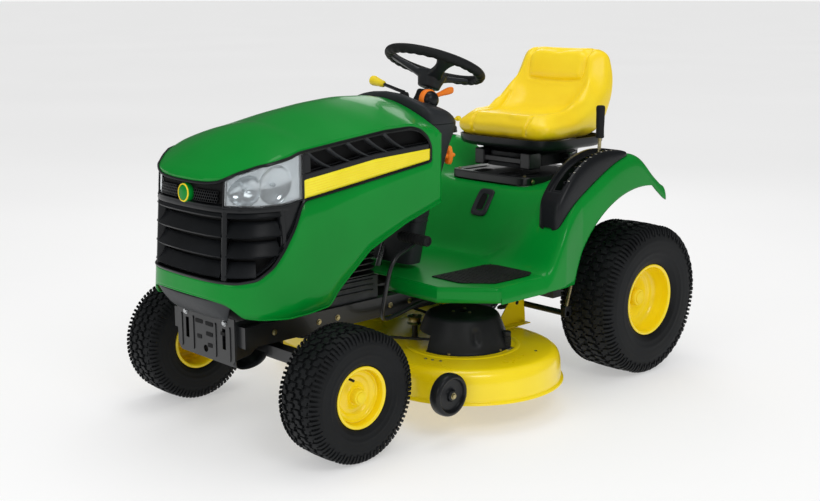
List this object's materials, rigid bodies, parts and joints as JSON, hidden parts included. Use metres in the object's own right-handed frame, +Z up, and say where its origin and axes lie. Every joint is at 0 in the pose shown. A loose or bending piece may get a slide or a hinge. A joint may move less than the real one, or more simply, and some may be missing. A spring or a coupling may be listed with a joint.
{
  "type": "riding lawn mower",
  "caption": "Front-engine riding lawn mower with a tilting hood, steered front axle, tilting seat, hand-lifted twin-blade deck and side discharge chute.",
  "frame": {"origin": "centre of the bounding box on the ground", "axes": "+Z up; the machine faces -Y, so +Y runs to its rear along its length; +X is the driver's left"},
  "size_m": [1.345, 1.758, 1.1033],
  "materials": {
    "hood_paint": "gloss green enamel",
    "yellow_paint": "satin yellow powder coat",
    "seat_vinyl": "yellow vinyl with fine grain",
    "black_plastic": "moulded textured black plastic",
    "black_steel": "black powder coat",
    "orange_plastic": "moulded orange plastic",
    "yellow_plastic": "moulded yellow plastic",
    "tyre_rubber": "turf tyre rubber",
    "mat_rubber": "ribbed rubber",
    "bright_steel": "zinc plated",
    "cast_metal": "cast aluminium and iron, dark",
    "lens": "clear moulded lens"
  },
  "bodies": {
    "chassis": {"main_frame": "black_steel", "front_hitch_plate": "black_steel", "rear_hitch_plate": "black_steel", "bumper_guard": "black_plastic", "engine_block": "cast_metal", "engine_shroud": "black_plastic", "muffler": "bright_steel", "transaxle": "cast_metal", "dash_console": "black_plastic", "fender_deck": "hood_paint", "footrest_mat_left": "mat_rubber", "footrest_mat_right": "mat_rubber", "lift_quadrant": "black_plastic", "fuel_tank": "black_plastic", "mower_belt": "mat_rubber"},
    "hood": {"hood_shell": "hood_paint", "grille": "black_plastic", "headlight_left": "lens", "headlight_right": "lens", "side_vent_left": "black_plastic", "side_vent_right": "black_plastic"},
    "crankshaft": {"crank_pulley": "bright_steel"},
    "axle": {"front_axle": "black_steel"},
    "steer_left": {"knuckle_left": "black_steel"},
    "steer_right": {"knuckle_right": "black_steel"},
    "steer_link": {"tie_rod": "bright_steel"},
    "front_wheel_left": {"front_rim_left": "yellow_paint", "front_tyre_left": "tyre_rubber"},
    "front_wheel_right": {"front_rim_right": "yellow_paint", "front_tyre_right": "tyre_rubber"},
    "rear_wheel_left": {"rear_rim_left": "yellow_paint", "rear_tyre_left": "tyre_rubber"},
    "rear_wheel_right": {"rear_rim_right": "yellow_paint", "rear_tyre_right": "tyre_rubber"},
    "steering": {"steering_wheel": "black_plastic", "steering_shaft": "bright_steel"},
    "throttle": {"throttle_lever": "orange_plastic"},
    "blade_engage": {"pto_lever": "yellow_plastic"},
    "key": {"ignition_key": "bright_steel"},
    "cruise": {"cruise_lever": "orange_plastic"},
    "brake": {"brake_pedal": "black_steel"},
    "forward": {"forward_pedal": "black_plastic"},
    "reverse": {"reverse_pedal": "black_plastic"},
    "seat_base": {"seat_plate": "black_steel"},
    "seat": {"seat_cushion": "seat_vinyl", "seat_pan": "black_plastic", "seat_spring": "bright_steel"},
    "filler_cap": {"fuel_cap": "black_plastic"},
    "lift": {"lift_lever": "black_steel", "lift_grip": "black_plastic"},
    "deck": {"mower_deck": "yellow_paint", "spindle_cover_left": "black_plastic", "spindle_cover_right": "black_plastic"},
    "cutter_left": {"blade_left": "bright_steel", "spindle_left": "bright_steel"},
    "cutter_right": {"blade_right": "bright_steel", "spindle_right": "bright_steel"},
    "gauge_left": {"gauge_wheel_left": "black_plastic"},
    "gauge_right": {"gauge_wheel_right": "black_plastic"},
    "chute": {"discharge_chute": "black_plastic"}
  },
  "joints": [
    {"name": "hood_hinge", "type": "hinge", "parent": "chassis", "child": "hood", "pos_m": [0.0875, -0.854, 0.42], "axis": [1, 0, 0], "range_deg": [0, 60]},
    {"name": "crank_spin", "type": "hinge", "parent": "chassis", "child": "crankshaft", "pos_m": [0.0875, -0.434, 0.3], "axis": [0, 0, 1], "continuous": true},
    {"name": "axle_pivot", "type": "hinge", "parent": "chassis", "child": "axle", "pos_m": [0.0875, -0.614, 0.24], "axis": [0, 1, 0], "range_deg": [-7, 7]},
    {"name": "steering_turn", "type": "hinge", "parent": "chassis", "child": "steering", "pos_m": [0.0875, 0.104, 1.031], "axis": [0, 0.3746, 0.9272], "range_deg": [-360, 360]},
    {"name": "steer_left_pivot", "type": "hinge", "parent": "axle", "child": "steer_left", "pos_m": [0.3725, -0.614, 0.2], "axis": [0, 0, 1], "range_deg": [-32, 32]},
    {"name": "steer_right_pivot", "type": "hinge", "parent": "axle", "child": "steer_right", "pos_m": [-0.1975, -0.614, 0.2], "axis": [0, 0, 1], "range_deg": [-32, 32]},
    {"name": "steer_link_slide", "type": "slide", "parent": "axle", "child": "steer_link", "axis": [1, 0, 0], "range_m": [-0.05, 0.05]},
    {"name": "front_left_spin", "type": "hinge", "parent": "steer_left", "child": "front_wheel_left", "pos_m": [0.4725, -0.614, 0.187], "axis": [1, 0, 0], "continuous": true},
    {"name": "front_right_spin", "type": "hinge", "parent": "steer_right", "child": "front_wheel_right", "pos_m": [-0.2975, -0.614, 0.187], "axis": [1, 0, 0], "continuous": true},
    {"name": "rear_left_spin", "type": "hinge", "parent": "chassis", "child": "rear_wheel_left", "pos_m": [0.4975, 0.626, 0.253], "axis": [1, 0, 0], "continuous": true},
    {"name": "rear_right_spin", "type": "hinge", "parent": "chassis", "child": "rear_wheel_right", "pos_m": [-0.3225, 0.626, 0.253], "axis": [1, 0, 0], "continuous": true},
    {"name": "throttle_swing", "type": "hinge", "parent": "chassis", "child": "throttle", "pos_m": [0.1875, -0.025, 0.945], "axis": [1, 0, 0], "range_deg": [0, 40]},
    {"name": "blade_engage_swing", "type": "hinge", "parent": "chassis", "child": "blade_engage", "pos_m": [0.0475, 0.006, 0.9465], "axis": [0, 1, 0], "range_deg": [0, 30]},
    {"name": "key_turn", "type": "hinge", "parent": "chassis", "child": "key", "pos_m": [0.2075, 0.076, 0.868], "axis": [0, 1, 0], "range_deg": [0, 90]},
    {"name": "cruise_slide", "type": "slide", "parent": "chassis", "child": "cruise", "axis": [0, 0, 1], "range_m": [0, 0.022]},
    {"name": "brake_press", "type": "hinge", "parent": "chassis", "child": "brake", "pos_m": [0.2875, -0.114, 0.33], "axis": [1, 0, 0], "range_deg": [0, 18], "stiffness_Nm_per_rad": 20},
    {"name": "forward_press", "type": "hinge", "parent": "chassis", "child": "forward", "pos_m": [-0.2025, -0.044, 0.428], "axis": [1, 0, 0], "range_deg": [0, 15], "stiffness_Nm_per_rad": 6},
    {"name": "reverse_press", "type": "hinge", "parent": "chassis", "child": "reverse", "pos_m": [-0.3025, 0.026, 0.428], "axis": [1, 0, 0], "range_deg": [0, 15], "stiffness_Nm_per_rad": 6},
    {"name": "seat_tilt", "type": "hinge", "parent": "chassis", "child": "seat_base", "pos_m": [0.0875, 0.358, 0.6475], "axis": [1, 0, 0], "range_deg": [0, 40]},
    {"name": "seat_slide", "type": "slide", "parent": "seat_base", "child": "seat", "axis": [0, 1, 0], "range_m": [-0.05, 0.05]},
    {"name": "cap_turn", "type": "hinge", "parent": "chassis", "child": "filler_cap", "pos_m": [-0.3025, 0.566, 0.755], "axis": [0, 0, 1], "range_deg": [0, 120]},
    {"name": "lift_swing", "type": "hinge", "parent": "chassis", "child": "lift", "pos_m": [0.0875, 0.306, 0.245], "axis": [1, 0, 0], "range_deg": [0, 23]},
    {"name": "deck_drop", "type": "slide", "parent": "chassis", "child": "deck", "axis": [0, 0, -1], "range_m": [0, 0.07], "deforming": ["mower_belt"]},
    {"name": "cutter_left_spin", "type": "hinge", "parent": "deck", "child": "cutter_left", "pos_m": [0.3525, -0.034, 0.15], "axis": [0, 0, 1], "continuous": true},
    {"name": "cutter_right_spin", "type": "hinge", "parent": "deck", "child": "cutter_right", "pos_m": [-0.1775, 0.046, 0.15], "axis": [0, 0, 1], "continuous": true},
    {"name": "gauge_left_spin", "type": "hinge", "parent": "deck", "child": "gauge_left", "pos_m": [0.5825, -0.329, 0.142], "axis": [1, 0, 0], "continuous": true},
    {"name": "gauge_right_spin", "type": "hinge", "parent": "deck", "child": "gauge_right", "pos_m": [-0.4075, -0.329, 0.142], "axis": [1, 0, 0], "continuous": true},
    {"name": "chute_hinge", "type": "hinge", "parent": "deck", "child": "chute", "pos_m": [-0.5025, 0.046, 0.186], "axis": [0, 1, 0], "range_deg": [0, 75], "stiffness_Nm_per_rad": 0.6}
  ],
  "couplings": [
    {"joint": "steer_left_pivot", "follows": "steering_turn", "ratio": 0.088889},
    {"joint": "steer_right_pivot", "follows": "steering_turn", "ratio": 0.088889},
    {"joint": "steer_link_slide", "follows": "steering_turn", "m_per_rad": -0.006494},
    {"joint": "deck_drop", "follows": "lift_swing", "m_per_rad": 0.17436},
    {"joint": "cutter_left_spin", "follows": "crank_spin", "ratio": 1},
    {"joint": "cutter_right_spin", "follows": "crank_spin", "ratio": 1}
  ]
}
